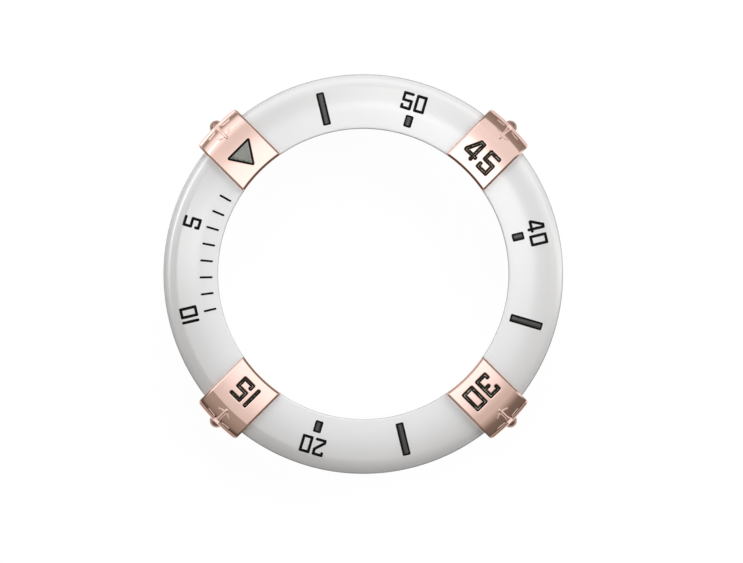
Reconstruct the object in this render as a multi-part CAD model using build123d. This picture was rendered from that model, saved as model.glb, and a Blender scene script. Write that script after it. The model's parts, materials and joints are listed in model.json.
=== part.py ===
from build123d import *
import math
import os

# Rotating watch bezel. Lengths in millimetres, angles in degrees.
# The turning axis is Z, the seat's underside lies at Z = 0 and the face looks up.
# As photographed, the zero mark stands at the upper left, seen from above.

# Rings, from the opening outwards
opening_radius = 13.78
ring_width = 5.22
neck_setback = 0.22
neck_wall = 0.6
running_gap = 0.05
carrier_setback = 0.05
flange_setback = 0.3
cushion_setback = 0.4

# Rings, from the seat upwards
flange_thickness = 1.5
axial_gap = 0.06
carrier_thickness = 1.3
cushion_thickness = 0.1
ring_thickness = 1.3
neck_clearance = 0.2
edge_break = 0.06

# White ring's top face: a gentle fall, then a round shoulder
ring_flat_share = 0.73
ring_fall = 0.28
ring_edge_drop = 1.0
ring_inner_round = 0.12
fill_depth = 0.2
fill_sink = 0.02

# Scale; a mark's label is the minute it stands at
minute_step = 6
zero_angle = 135
mark_lag = 1.45
tick_lag = 1.8
long_batons = ("55", "35", "25")
short_batons = ("50", "40", "20")
ring_numerals = ("50", "40", "20", "10", "05")
tick_minutes = range(3, 11)
baton_width = 0.76
baton_start = 0.76
long_baton_length = 3.16
short_baton_length = 1.14
baton_rim = 0.14
baton_corner = 0.12
tick_start = 0.53
tick_length = 1.24
tick_width = 0.18

# Numerals: height, stroke and the inner edge's distance from the opening
ring_digit_height = 1.64
ring_digit_width = 1.01
ring_digit_stroke = 0.22
ring_digit_gap = 0.28
ring_digit_start = 2.37
tab_digit_height = 2.22
tab_digit_width = 1.4
tab_digit_stroke = 0.38
tab_digit_line = 0.12
tab_digit_gap = 0.36
tab_digit_start = 0.96

# Stroke centre lines as shares of a digit's width and height
digit_line_shares = {
    "0": [(0, 0), (0, 1), (1, 1), (1, 0), (0, 0)],
    "1": [(0, 0), (0, 1)],
    "2": [(0, 0.86), (0, 1), (1, 1), (1, 0.68), (0, 0.15), (0, 0), (1, 0)],
    "3": [(0, 0.84), (0, 1), (1, 1), (1, 0.54), (0.5, 0.54), (1, 0.54), (1, 0), (0, 0), (0, 0.18)],
    "4": [(1, 0.2), (0, 0.2), (0, 0.27), (0.52, 1), (0.79, 1), (0.79, 0)],
    "5": [(1, 1), (0, 1), (0, 0.52), (1, 0.52), (1, 0), (0, 0), (0, 0.18)],
}
wide_digit_shares = {"4": 1.12}
stroke_round_share = 0.42

# Rider tabs, which clamp the white ring
zero_tab = "00"
numbered_tabs = ("45", "30", "15")
tab_labels = (zero_tab,) + numbered_tabs
tab_width = 5.0
tab_reach = 0.9
tab_rise = 0.45
tab_recess = 0.15
tab_fit = 0.02
tab_flat_share = 0.77
tab_fall = 0.33
tab_lip_width = 0.29
tab_cove = 0.33
tab_lip_height = 0.25
tab_skirt_drop = 0.3
tab_corner = 0.24
tab_edge_round = 0.1
scoop_radius = 1.6
scoop_depth = 0.13
scoop_tilt = 48
crest_width = 0.23
crest_rise = 0.05
crest_start = 0.12
crest_reach = 0.1
crest_flare = 0.45
crest_foot_width = 0.57
crest_foot_height = 0.14
triangle_half_width = 1.52
triangle_height = 2.3
triangle_start = 0.78
triangle_rim = 0.19
triangle_round = 0.13

# Tab screws
thread_radius = 0.4
shank_fit = 0.03
thread_length = 1.5
head_radius = 0.65
head_height = 0.41
head_sink = 0.05
head_fit = 0.03
slot_width = 0.2
slot_depth = 0.16

# Click teeth, pins and springs
click_count = 60
tooth_half_width = 0.55
tooth_depth = 0.3
tooth_zone_start = 0.85
tooth_zone_length = 1.4
pin_angles = (0, 180)
pin_radius = 0.48
pin_guide_length = 0.5
pin_tip_radius = 0.08
pin_fit = 0.04
pin_floor = 0.3
pin_margin = 0.02
spring_wall = 0.14
spring_fit = 0.05

# Seal and retaining wire
seal_radius = 0.3
seal_setback = 1.0
seal_gap = 0.03
seal_fit = 0.04
wire_radius = 0.2
wire_fit = 0.03
wire_opening = 10

# One overrun serves all cuts, and is the room left above the highest piece
overrun = 1.0

ring_outer = opening_radius + ring_width
bore_radius = opening_radius + neck_setback
neck_outer = bore_radius + neck_wall
carrier_inner = neck_outer + running_gap
carrier_outer = ring_outer - carrier_setback
carrier_bottom = flange_thickness + axial_gap
carrier_top = carrier_bottom + carrier_thickness
carrier_middle = carrier_bottom + carrier_thickness / 2
ring_bottom = carrier_top + cushion_thickness
ring_top = ring_bottom + ring_thickness
neck_top = carrier_top - neck_clearance
tab_outer = ring_outer + tab_reach
tab_top = ring_top + tab_rise
tab_lip_top = ring_bottom + tab_lip_height
skirt_foot = flange_thickness - tab_skirt_drop
flange_outer = ring_outer - flange_setback
wire_place = neck_outer + running_gap / 2
wire_half = wire_radius + wire_fit
seal_place = flange_outer - seal_setback
seal_height = flange_thickness + seal_gap - seal_radius
pin_place = carrier_inner + tooth_zone_start + tooth_zone_length / 2
pin_foot = flange_thickness - pin_guide_length
pin_tip_height = (pin_radius - pin_tip_radius) * tooth_depth / tooth_half_width
pin_length = carrier_bottom - pin_foot + pin_tip_height
pin_travel = pin_tip_height + pin_margin
high = tab_top + overrun
wide = tab_outer + overrun

# Each top face as three points: inner end of the flat, its outer end, foot of the shoulder
ring_face = [
    (opening_radius, ring_top),
    (opening_radius + ring_flat_share * ring_width, ring_top - ring_fall),
    (ring_outer, ring_top - ring_edge_drop),
]
tab_shoulder_end = tab_outer - tab_lip_width - tab_cove
tab_face = [
    (opening_radius, tab_top),
    (opening_radius + tab_flat_share * (tab_shoulder_end - opening_radius), tab_top - tab_fall),
    (tab_shoulder_end, tab_lip_top + tab_cove),
]


def turned(edges):
    """Solid of revolution about Z from a closed outline in radius and height."""
    return revolve(Plane.XZ * make_face(edges), Axis.Z)


def band(inner, outer, bottom, top):
    """Plain ring between two radii and two heights."""
    corners = [(inner, bottom), (outer, bottom), (outer, top), (inner, top), (inner, bottom)]
    return turned(Polyline(*corners).edges())


def face_line(face, depth):
    """Edges and ends of a top face that is lowered by depth."""
    inner, bend, foot = [(r, z - depth) for r, z in face]
    slope = (bend[0] - inner[0], bend[1] - inner[1])
    return [Line(inner, bend), TangentArc(bend, foot, tangent=slope)], inner, foot


def under(face, depth, floor=0):
    """Everything below a lowered top face, down to the floor."""
    edges, inner, foot = face_line(face, depth)
    foot_floor = (foot[0], floor)
    inner_floor = (inner[0], floor)
    closing = [Line(foot, foot_floor), Line(foot_floor, inner_floor), Line(inner_floor, inner)]
    return turned(edges + closing)


def prism(sketch):
    """Sketch made into a column that passes through the whole height."""
    return extrude(sketch, high)


def turned_to(shape, angle):
    """Shape drawn with outwards along Y, turned to its place on the ring."""
    return Rot(0, 0, angle - 90) * shape


def minute_angle(minute, lag=0):
    """Angle of a minute on the countdown scale, with its clockwise lag."""
    return zero_angle + int(minute) * minute_step - lag


def solids_of(shape):
    """Shape as one compound of its separate solids."""
    return Compound(children=list(shape.solids()))


def stroke(start, end, width):
    """One straight stroke with rounded ends."""
    run = Vector(end[0] - start[0], end[1] - start[1])
    middle = ((start[0] + end[0]) / 2, (start[1] + end[1]) / 2)
    bar = RectangleRounded(run.length + width, width, stroke_round_share * width)
    return Pos(*middle) * Rot(0, 0, math.degrees(math.atan2(run.Y, run.X))) * bar


def digit(character, width, height, weight, line_width):
    """Digit whose outline of the given weight starts at the origin; line_width is what is drawn."""
    span = 0 if character == "1" else width - weight
    points = []
    for across, up in digit_line_shares[character]:
        points.append((weight / 2 + across * span, weight / 2 + up * (height - weight)))
    return Sketch() + [stroke(a, b, line_width) for a, b in zip(points, points[1:])]


def number(label, width, height, weight, gap, start, line_width):
    """Number centred on the Y axis, its foot at the given distance from the opening."""
    drawn = Sketch()
    left = 0
    for character in label.lstrip("0"):
        across = weight if character == "1" else width * wide_digit_shares.get(character, 1)
        drawn += Pos(left, opening_radius + start) * digit(character, across, height, weight, line_width)
        left += across + gap
    return Pos(-(left - gap) / 2, 0) * drawn


def ring_number(label):
    """Number of the white ring."""
    return number(label, ring_digit_width, ring_digit_height, ring_digit_stroke,
                  ring_digit_gap, ring_digit_start, ring_digit_stroke)


def tab_number(label, line_width):
    """Number of a rider tab, drawn with the given line."""
    return number(label, tab_digit_width, tab_digit_height, tab_digit_stroke,
                  tab_digit_gap, tab_digit_start, line_width)


def baton(length, inset=0):
    """Baton along Y, or its core where an inset is given."""
    middle = opening_radius + baton_start + length / 2
    corner = baton_corner / 2 if inset else baton_corner
    return Pos(0, middle) * RectangleRounded(baton_width - 2 * inset, length - 2 * inset, corner)


def triangle(inset=0):
    """Zero mark pointing at the opening, or its fill where an inset is given."""
    foot = opening_radius + triangle_start
    corners = [(0, foot), (triangle_half_width, foot + triangle_height),
               (-triangle_half_width, foot + triangle_height)]
    plain = Polygon(*corners, align=None)
    if inset:
        return offset(plain, -inset, kind=Kind.INTERSECTION)
    return fillet(plain.vertices(), triangle_round)


class Inlays:
    """Marks let into a top face: the pockets they need and the pieces that fill them."""

    def __init__(self, face, depth, sink):
        self.floor = under(face, depth)
        self.layer = under(face, sink) - self.floor

    def fill(self, sketch, angle=90):
        return solids_of(prism(turned_to(sketch, angle)) & self.layer)

    def pocket(self, sketch, angle=90):
        return prism(turned_to(sketch, angle)) - self.floor


def white_ring_and_marks():
    """White ring with its pockets, and the fills of its numerals, batons and ticks."""
    ring = under(ring_face, 0, ring_bottom)
    inner_edge = ring.edges().filter_by(GeomType.CIRCLE).sort_by(Axis.Z)[-1]
    marks = Inlays(ring_face, fill_depth, fill_sink)
    ring = fillet(inner_edge, ring_inner_round)
    pieces = {}
    for label in ring_numerals:
        angle = minute_angle(label, mark_lag if label in short_batons else tick_lag)
        pieces[f"numeral_{label}"] = marks.fill(ring_number(label), angle)
        ring -= marks.pocket(ring_number(label), angle)
    lengths = {label: long_baton_length for label in long_batons}
    lengths.update({label: short_baton_length for label in short_batons})
    for label, length in lengths.items():
        angle = minute_angle(label, mark_lag)
        core = baton(length, baton_rim)
        pieces[f"baton_{label}_rim"] = marks.fill(baton(length) - core, angle)
        pieces[f"baton_{label}_insert"] = marks.fill(core, angle)
        ring -= marks.pocket(baton(length), angle)
    ticks = Sketch()
    middle = opening_radius + tick_start + tick_length / 2
    for minute in tick_minutes:
        tick = Pos(0, middle) * Rot(0, 0, 90) * SlotOverall(tick_length, tick_width)
        ticks += turned_to(tick, minute_angle(minute, tick_lag))
    pieces["minute_ticks"] = marks.fill(ticks)
    ring -= marks.pocket(ticks)
    for label in tab_labels:
        seat = tab_footprint(tab_fit)
        ring -= prism(turned_to(seat, minute_angle(label))) - under(ring_face, tab_recess)
    pieces["white_ring"] = ring
    return pieces


def tab_footprint(margin=0):
    """Plan of a rider tab along Y, wider than the ring at both ends."""
    return Pos(0, wide / 2) * Rectangle(tab_width + 2 * margin, wide)


def tab_block():
    """Rider tab along Y before its underside is cut: plate, shoulder, cove, lip and outer wall."""
    top, inner, foot = face_line(tab_face, 0)
    cove_foot = (foot[0] + tab_cove, tab_lip_top)
    cove_depth = tab_cove * math.sin(math.pi / 4)
    cove = ThreePointArc(foot, (cove_foot[0] - cove_depth, foot[1] - cove_depth), cove_foot)
    wall = Polyline(cove_foot, (tab_outer, tab_lip_top), (tab_outer, skirt_foot),
                    (opening_radius, skirt_foot), inner)
    block = turned(top + [cove] + wall.edges()) & prism(tab_footprint())
    block = fillet(block.edges().filter_by(Axis.Z).group_by(Axis.Y)[-1], tab_corner)
    inner_top = block.edges().filter_by(GeomType.CIRCLE).sort_by(Axis.Z)[-1]
    return fillet([edge for edge in block.edges() if runs_along_side(edge)] + [inner_top], tab_edge_round)


def tab_underside():
    """What a tab leaves free for the white ring, let into it by the recess, and the rings below."""
    seat_edge = ring_face[-1][1] - tab_recess
    return [under(ring_face, tab_recess), band(0, ring_outer + tab_fit, 0, seat_edge)]


def runs_along_side(edge):
    """Whether a tab's edge is one of the curved ones along its two sides, above the lip."""
    middle = edge.center()
    on_side = abs(abs(middle.X) - tab_width / 2) < tab_fit
    return on_side and middle.Z > tab_lip_top + tab_fit and edge.geom_type != GeomType.LINE


def scoops():
    """Two shallow round hollows in a tab's shoulder, one each side of the crest."""
    arc = face_line(tab_face, 0)[0][1]
    tilt = math.radians(scoop_tilt)
    lift = arc.radius - scoop_depth + scoop_radius
    axis_radius = arc.arc_center.X + lift * math.sin(tilt)
    axis_height = arc.arc_center.Y + lift * math.cos(tilt)
    half_width = math.sqrt(scoop_radius ** 2 - (scoop_radius - scoop_depth) ** 2)
    tools = []
    for side in (-1, 1):
        origin = (side * (crest_width / 2 + half_width), axis_radius, axis_height)
        placed = Plane(origin=origin, z_dir=(0, math.cos(tilt), -math.sin(tilt)))
        tools.append(placed * Cylinder(scoop_radius, 2 * tab_width))
    above_lip = Pos(0, wide / 2, tab_lip_top + wide / 2) * Box(wide, wide, wide)
    return [tool & above_lip for tool in tools]


def crest():
    """Thin rib that runs down the shoulder between the scoops and widens at its foot."""
    foot_radius = tab_outer - tab_lip_width + crest_reach
    raised = [(r, z + crest_rise) for r, z in tab_face[:2]]
    face = raised + [(foot_radius, tab_lip_top + crest_foot_height)]
    half = crest_width / 2
    start = raised[1][0] + crest_start
    waist = foot_radius - crest_flare
    outline = Polyline((-half, start), (half, start), (half, waist), (crest_foot_width / 2, foot_radius),
                       (-crest_foot_width / 2, foot_radius), (-half, waist), (-half, start))
    return under(face, 0, tab_lip_top - crest_foot_height) & prism(make_face(outline))


def screw_way(radius, start, end):
    """Round bar along Y at a tab screw's height, from one distance to the other."""
    placed = Plane(origin=(0, (start + end) / 2, carrier_middle), z_dir=(0, 1, 0))
    return placed * Cylinder(radius, end - start)


def tab_screw():
    """Slotted screw with a domed head, along Y."""
    seat = tab_outer - head_sink
    dome_radius = (head_radius ** 2 + head_height ** 2) / (2 * head_height)
    ball = Pos(0, seat + head_height - dome_radius, carrier_middle) * Sphere(dome_radius)
    head = ball & screw_way(head_radius, seat, seat + head_height + overrun)
    slot_middle = seat + head_height + overrun / 2 - slot_depth
    slot = Pos(0, slot_middle, carrier_middle) * Box(4 * head_radius, overrun, slot_width)
    return head - slot + screw_way(thread_radius, carrier_outer - thread_length, seat)


def rider_tabs_and_marks():
    """The four tabs with their pockets and screw holes, and the fills of their marks."""
    blank = tab_block() - scoops() + crest() - tab_underside()
    blank -= screw_way(thread_radius + shank_fit, 0, wide)
    blank -= screw_way(head_radius + head_fit, tab_outer - head_sink, wide)
    marks = Inlays(tab_face, fill_depth, fill_sink)
    pieces = {}
    for label in tab_labels:
        if label in numbered_tabs:
            outline = tab_number(label, tab_digit_stroke)
            core = tab_number(label, tab_digit_line)
            names = (f"numeral_{label}_rim", f"numeral_{label}_line")
        else:
            outline = triangle()
            core = triangle(triangle_rim)
            names = ("triangle_rim", "triangle_fill")
        angle = minute_angle(label)
        for name, sketch in zip(names, (outline - core, core)):
            pieces[name] = turned_to(marks.fill(sketch), angle)
        pieces[f"rider_tab_{label}"] = turned_to(blank - marks.pocket(outline), angle)
    screws = [turned_to(tab_screw(), minute_angle(label)) for label in tab_labels]
    pieces["tab_screws"] = Compound(children=screws)
    return pieces


def click_teeth():
    """Radial notches of V section, as tools for the carrier's underside."""
    start = carrier_inner + tooth_zone_start
    edge = carrier_bottom - overrun
    outline = Polyline((-tooth_half_width, edge), (-tooth_half_width, carrier_bottom),
                       (0, carrier_bottom + tooth_depth), (tooth_half_width, carrier_bottom),
                       (tooth_half_width, edge), (-tooth_half_width, edge))
    notch = extrude(Plane.XZ * make_face(outline), -tooth_zone_length)
    notch = Pos(0, start, 0) * notch
    return [turned_to(notch, 360 * step / click_count) for step in range(click_count)]


def broken_band(inner, outer, bottom, top):
    """Plain ring with its two outer edges broken."""
    ring = band(inner, outer, bottom, top)
    outer_edges = ring.edges().filter_by(GeomType.CIRCLE).group_by(SortBy.RADIUS)[-1]
    return chamfer(outer_edges, edge_break)


def carrier_ring():
    """Metal ring under the white ring: click teeth, screw threads and the wire's groove."""
    ring = broken_band(carrier_inner, carrier_outer, carrier_bottom, carrier_top)
    ring -= band(carrier_inner - overrun, wire_place + wire_half, carrier_middle - wire_half,
                 carrier_middle + wire_half)
    ring -= click_teeth()
    tapped = screw_way(thread_radius, carrier_outer - thread_length, wide)
    return ring - [turned_to(tapped, minute_angle(label)) for label in tab_labels]


def cushion_ring():
    """Adhesive pad between carrier and white ring."""
    return band(carrier_inner + cushion_setback, carrier_outer - cushion_setback, carrier_top, ring_bottom)


def seat_ring():
    """Fixed ring: flange with the pins' pockets and the seal's groove, and the neck."""
    ring = broken_band(bore_radius, flange_outer, 0, flange_thickness)
    ring += band(bore_radius, neck_outer, 0, neck_top)
    ring -= band(wire_place - wire_half, neck_outer + overrun, carrier_middle - wire_half,
                 carrier_middle + wire_half)
    seal_half = seal_radius + seal_fit
    ring -= band(seal_place - seal_half, seal_place + seal_half, seal_height - seal_half,
                 flange_thickness + overrun)
    pocket = Cylinder(pin_radius + pin_fit, flange_thickness, align=(Align.CENTER, Align.CENTER, Align.MIN))
    return ring - [at_pin(angle, pin_floor) * pocket for angle in pin_angles]


def retaining_wire():
    """Open ring of round wire, half in the neck and half in the carrier."""
    section = Plane.XZ * Pos(wire_place, carrier_middle) * Circle(wire_radius)
    return Rot(0, 0, wire_opening / 2) * revolve(section, Axis.Z, 360 - wire_opening)


def seal_ring():
    """Round rubber ring in the flange."""
    return Pos(0, 0, seal_height) * Torus(seal_place, seal_radius)


def at_pin(angle, height):
    """Place of a click pin's axis at the given height."""
    return Rot(0, 0, angle) * Pos(pin_place, 0, height)


def click_pin():
    """Round pin with a cone that drops into the notches, its foot at the origin."""
    shoulder = pin_length - pin_tip_height
    outline = Polyline((0, 0), (pin_radius, 0), (pin_radius, shoulder), (pin_tip_radius, pin_length),
                       (0, pin_length), (0, 0))
    return turned(outline.edges())


def click_spring():
    """Room that the coil spring under a pin takes up, its foot at the origin."""
    outer = pin_radius + pin_fit - spring_fit
    return band(outer - spring_wall, outer, 0, pin_foot - pin_floor)


def main():
    os.makedirs("parts", exist_ok=True)
    pieces = {
        "seat_ring": seat_ring(),
        "retaining_wire": retaining_wire(),
        "seal_ring": seal_ring(),
        "carrier_ring": carrier_ring(),
        "cushion_ring": cushion_ring(),
    }
    for place, angle in enumerate(pin_angles, 1):
        pieces[f"click_pin_{place}"] = at_pin(angle, pin_foot) * click_pin()
        pieces[f"click_spring_{place}"] = at_pin(angle, pin_floor) * click_spring()
    pieces.update(white_ring_and_marks())
    pieces.update(rider_tabs_and_marks())
    for name, shape in pieces.items():
        export_step(shape, f"parts/{name}.step")
    print("pin travel", round(pin_travel, 4), "pin circle radius", pin_place)


main()
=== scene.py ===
import json
import math

import bmesh
import bpy
import numpy as np
from mathutils import Matrix, Vector
from mathutils.bvhtree import BVHTree


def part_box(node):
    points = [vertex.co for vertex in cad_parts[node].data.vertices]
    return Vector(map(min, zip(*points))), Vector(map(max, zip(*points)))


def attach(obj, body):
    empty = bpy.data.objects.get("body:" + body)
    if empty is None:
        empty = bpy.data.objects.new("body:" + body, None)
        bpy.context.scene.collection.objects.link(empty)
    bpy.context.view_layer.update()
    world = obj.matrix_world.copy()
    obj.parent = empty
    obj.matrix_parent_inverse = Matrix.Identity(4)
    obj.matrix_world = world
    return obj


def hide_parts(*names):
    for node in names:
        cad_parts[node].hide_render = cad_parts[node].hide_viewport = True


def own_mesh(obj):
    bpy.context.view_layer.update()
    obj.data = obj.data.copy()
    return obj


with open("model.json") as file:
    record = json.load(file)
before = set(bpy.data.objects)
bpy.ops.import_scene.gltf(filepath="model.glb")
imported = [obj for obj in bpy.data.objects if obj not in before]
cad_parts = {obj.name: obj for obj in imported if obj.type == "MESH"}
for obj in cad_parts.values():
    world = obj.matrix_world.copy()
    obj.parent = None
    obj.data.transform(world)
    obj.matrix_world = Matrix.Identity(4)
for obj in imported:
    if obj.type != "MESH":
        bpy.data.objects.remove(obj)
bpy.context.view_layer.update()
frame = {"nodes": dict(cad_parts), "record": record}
mm = 0.001  # the sizes below are millimetres, and finished meshes are metres
mergeGap = 1e-4  # points nearer than this are one
print("frame loaded:", len(frame["nodes"]), "nodes")

scale = {
    "zeroAngle": 135,  # where the zero mark stands, seen from above
    "minuteStep": 6,
    "markLag": 1.45,  # marks and short numerals trail their minute a little
    "tickLag": 1.8,
    "lagging": ("05", "10"),  # numerals that stand beside the ticks and trail as they do
    "numerals": ("50", "40", "20", "10", "05"),
    "batons": ("55", "35", "25", "50", "40", "20"),
    "tabs": ("00", "45", "30", "15"),
}


def minuteAngle(minute, lag=0):
    return scale["zeroAngle"] + scale["minuteStep"] * int(minute) - lag


def nodeBox(name):
    low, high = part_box(name)
    return [value / mm for value in low], [value / mm for value in high]


# Node trees: one wrapper for sockets and one method for nodes, in shaders and geometry alike

class Socket:
    def __init__(self, tree, output):
        self.tree = tree
        self.output = output

    def math(self, operation, first, second):
        return self.tree.node("ShaderNodeMath", {"operation": operation}, {0: first, 1: second})

    def __add__(self, other):
        return self.math("ADD", self, other)

    def __radd__(self, other):
        return self.math("ADD", other, self)

    def __sub__(self, other):
        return self.math("SUBTRACT", self, other)

    def __rsub__(self, other):
        return self.math("SUBTRACT", other, self)

    def __mul__(self, other):
        return self.math("MULTIPLY", self, other)

    def __rmul__(self, other):
        return self.math("MULTIPLY", other, self)

    def __truediv__(self, other):
        return self.math("DIVIDE", self, other)

    def __mod__(self, other):
        return self.math("MODULO", self, other)


class Tree:
    def __init__(self, tree):
        self.tree = tree

    def node(self, kind, settings=None, sockets=None, output=0):
        made = self.tree.nodes.new(kind)
        for name, value in (settings or {}).items():
            if name == "stops":
                self.setStops(made.color_ramp, value)
            else:
                setattr(made, name, value)
        for name, value in (sockets or {}).items():
            if isinstance(value, Socket):
                self.tree.links.new(value.output, made.inputs[name])
            else:
                made.inputs[name].default_value = value
        return made if output is None or not made.outputs else Socket(self, made.outputs[output])

    def setStops(self, ramp, stops):
        while len(ramp.elements) < len(stops):
            ramp.elements.new(0.5)
        for element, (place, value) in zip(ramp.elements, stops):
            element.position = place
            element.color = (*value, 1) if isinstance(value, tuple) else (value, value, value, 1)


# Finishes

def objectPoint(tree, stretch=(1, 1, 1)):
    place = tree.node("ShaderNodeTexCoord", output="Object")
    return tree.node("ShaderNodeMapping", sockets={"Vector": place, "Scale": stretch})


def noise(tree, grain, detail=3.0, stretch=(1, 1, 1), vector=None):
    # grain is the size of one blotch in millimetres
    return tree.node("ShaderNodeTexNoise", {}, {
        "Vector": vector or objectPoint(tree, stretch), "Scale": 1 / (grain * mm), "Detail": detail,
    })


def mixColor(tree, factor, first, second):
    return tree.node("ShaderNodeMix", {"data_type": "RGBA"}, {0: factor, 6: first, 7: second}, output=2)


def axisDistance(tree):
    # distance from the turning axis in millimetres
    place = tree.node("ShaderNodeTexCoord", output="Object")
    flat = tree.node("ShaderNodeVectorMath", {"operation": "MULTIPLY"}, {0: place, 1: (1, 1, 0)})
    return tree.node("ShaderNodeVectorMath", {"operation": "LENGTH"}, {0: flat}, output="Value") / mm


def rising(tree, value, start, end):
    # 0 before start, 1 after end, a straight rise between
    return tree.node("ShaderNodeMapRange", {}, {"Value": value, "From Min": start, "From Max": end})


def newFinish(name, constants, feeds):
    # constants go on the shader's own sockets; feeds makes what varies over the surface
    material = bpy.data.materials.new(name)
    material.use_nodes = True
    material.node_tree.nodes.clear()
    tree = Tree(material.node_tree)
    sockets = dict(constants)
    sockets.update(feeds(tree))
    shader = tree.node("ShaderNodeBsdfPrincipled", {}, sockets)
    tree.node("ShaderNodeOutputMaterial", {}, {"Surface": shader})
    return material


def bump(tree, height, strength, distance):
    return tree.node("ShaderNodeBump", {}, {
        "Height": height, "Strength": strength, "Distance": distance * mm,
    })


def rgb(red, green, blue):
    return (red, green, blue, 1)


def grey(level):
    return rgb(level, level, level)


# painted shade along the ring's two rims: where it sets in and how dark it gets
paintedRimShade = {
    "outerRim": (18.86, 18.95),  # radii between which the rim's painted shade sets in
    "outerHeight": (-1.3, -1.1),  # the same in height, from the top of the ring
    "innerRim": (13.87, 13.79),
    "innerHeight": (-0.3, -0.13),
    "rimShare": 0.8,
}


def ceramicFeeds(tree):
    # painted shade: the face is greyer along its two rims, standing in for the shade of the rounded edges
    cloud = noise(tree, grain=6.0)
    polish = noise(tree, grain=1.2, detail=5)
    radius = axisDistance(tree)
    place = tree.node("ShaderNodeTexCoord", output="Object")
    height = tree.node("ShaderNodeSeparateXYZ", {}, {"Vector": place}, output="Z") / mm
    top = nodeBox("white_ring")[1][2]

    def rimOf(radii, heights):
        low, high = heights
        return rising(tree, radius, *radii) * rising(tree, height, top + low, top + high)

    rim = rimOf(paintedRimShade["outerRim"], paintedRimShade["outerHeight"]) + rimOf(paintedRimShade["innerRim"], paintedRimShade["innerHeight"])
    body = mixColor(tree, cloud, rgb(0.86, 0.86, 0.865), rgb(0.9, 0.9, 0.902))
    return {
        # painted shade: the rims' grey darkens the base colour
        "Base Color": mixColor(tree, rim * paintedRimShade["rimShare"], body, rgb(0.3, 0.3, 0.31)),
        "Roughness": 0.02 + polish * 0.04,
        "Normal": bump(tree, noise(tree, grain=1.6, detail=2), strength=0.05, distance=0.01),
    }


def hairlines(tree):
    return noise(tree, grain=0.12, detail=4, stretch=(1, 0.15, 1))


def goldFeeds(tree):
    cloud = noise(tree, grain=2.5)
    hairline = hairlines(tree)
    return {
        "Base Color": mixColor(tree, cloud, rgb(0.92, 0.66, 0.595), rgb(0.94, 0.68, 0.615)),
        "Roughness": 0.06 + hairline * 0.06,
        "Normal": bump(tree, hairline, strength=0.02, distance=0.004),
    }


def shadedScrewFeeds(tree):
    # painted shade: a darker copy of the tabs' gold, standing in for the dark reflections on the heads
    hairline = hairlines(tree)
    return {
        "Base Color": mixColor(tree, noise(tree, grain=0.5), rgb(0.34, 0.22, 0.18), rgb(0.42, 0.28, 0.23)),
        "Roughness": 0.08 + hairline * 0.08,
        "Normal": bump(tree, hairline, strength=0.02, distance=0.004),
    }


def enamelFeeds(tree):
    speck = noise(tree, grain=0.15, detail=4)
    return {
        "Base Color": mixColor(tree, speck, grey(0.002), rgb(0.009, 0.009, 0.008)),
        "Roughness": 0.22 + speck * 0.2,
        "Normal": bump(tree, noise(tree, grain=0.3), strength=0.2, distance=0.01),
    }


paintedSheen = {"start": 14.9, "end": 17.3, "share": 0.7, "specks": 0.3}  # radii over which the painted sheen turns an insert grey


def insertFeeds(tree):
    # painted sheen: nearly black at the inner end and greyer outwards, with random specks
    speck = noise(tree, grain=0.2, detail=4)
    fade = rising(tree, axisDistance(tree), paintedSheen["start"], paintedSheen["end"])
    lit = fade * paintedSheen["share"] + speck * paintedSheen["specks"]
    return {
        # painted sheen: the outward grey stands in for reflected light
        "Base Color": mixColor(tree, lit, grey(0.002), grey(0.03)),
        "Roughness": 0.08 + speck * 0.1,
        "Normal": bump(tree, noise(tree, grain=0.5), strength=0.15, distance=0.01),
    }


paintedGlints = {"start": 0.46, "end": 0.69}  # noise values between which a numeral's line gets painted glints


def lineFeeds(tree):
    speck = noise(tree, grain=0.35, detail=3)
    lit = rising(tree, speck, paintedGlints["start"], paintedGlints["end"])
    return {
        # painted glints: bright patches of the line's colour stand in for highlights
        "Base Color": mixColor(tree, lit, rgb(0.02, 0.02, 0.012), rgb(0.55, 0.53, 0.4)),
        "Roughness": 0.16 + speck * 0.2,
    }


def fillFeeds(tree):
    grain = noise(tree, grain=0.1, detail=5)
    cloud = noise(tree, grain=1.4)
    return {
        "Base Color": mixColor(tree, cloud, rgb(0.27, 0.28, 0.25), rgb(0.38, 0.39, 0.36)),
        "Roughness": 0.35 + grain * 0.2,
        "Normal": bump(tree, grain, strength=0.25, distance=0.01),
    }


def turnedFeeds(tree):
    # lathe marks: noise that depends on the distance from the axis and on the height
    place = tree.node("ShaderNodeTexCoord", output="Object")
    height = tree.node("ShaderNodeSeparateXYZ", {}, {"Vector": place}, output="Z")
    both = tree.node("ShaderNodeCombineXYZ", {}, {"X": axisDistance(tree) * mm, "Z": height})
    marks = noise(tree, grain=0.09, detail=6, vector=both)
    cloud = noise(tree, grain=3.0)
    return {
        "Base Color": mixColor(tree, cloud, rgb(0.56, 0.56, 0.57), grey(0.66)),
        "Roughness": 0.2 + marks * 0.18,
        "Normal": bump(tree, marks, strength=0.35, distance=0.008),
    }


def wireFeeds(tree):
    streak = noise(tree, grain=0.08, detail=4)
    return {
        "Base Color": mixColor(tree, streak, rgb(0.4, 0.4, 0.42), rgb(0.55, 0.55, 0.56)),
        "Roughness": 0.2 + streak * 0.15,
        "Normal": bump(tree, streak, strength=0.2, distance=0.005),
    }


def pinFeeds(tree):
    streak = noise(tree, grain=0.1, detail=3)
    return {
        "Base Color": mixColor(tree, streak, rgb(0.62, 0.62, 0.64), rgb(0.72, 0.72, 0.73)),
        "Roughness": 0.1 + streak * 0.1,
    }


def rubberFeeds(tree):
    grain = noise(tree, grain=0.08, detail=6)
    return {
        "Base Color": mixColor(tree, grain, grey(0.015), grey(0.035)),
        "Roughness": 0.55 + grain * 0.25,
        "Normal": bump(tree, grain, strength=0.4, distance=0.01),
    }


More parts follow.
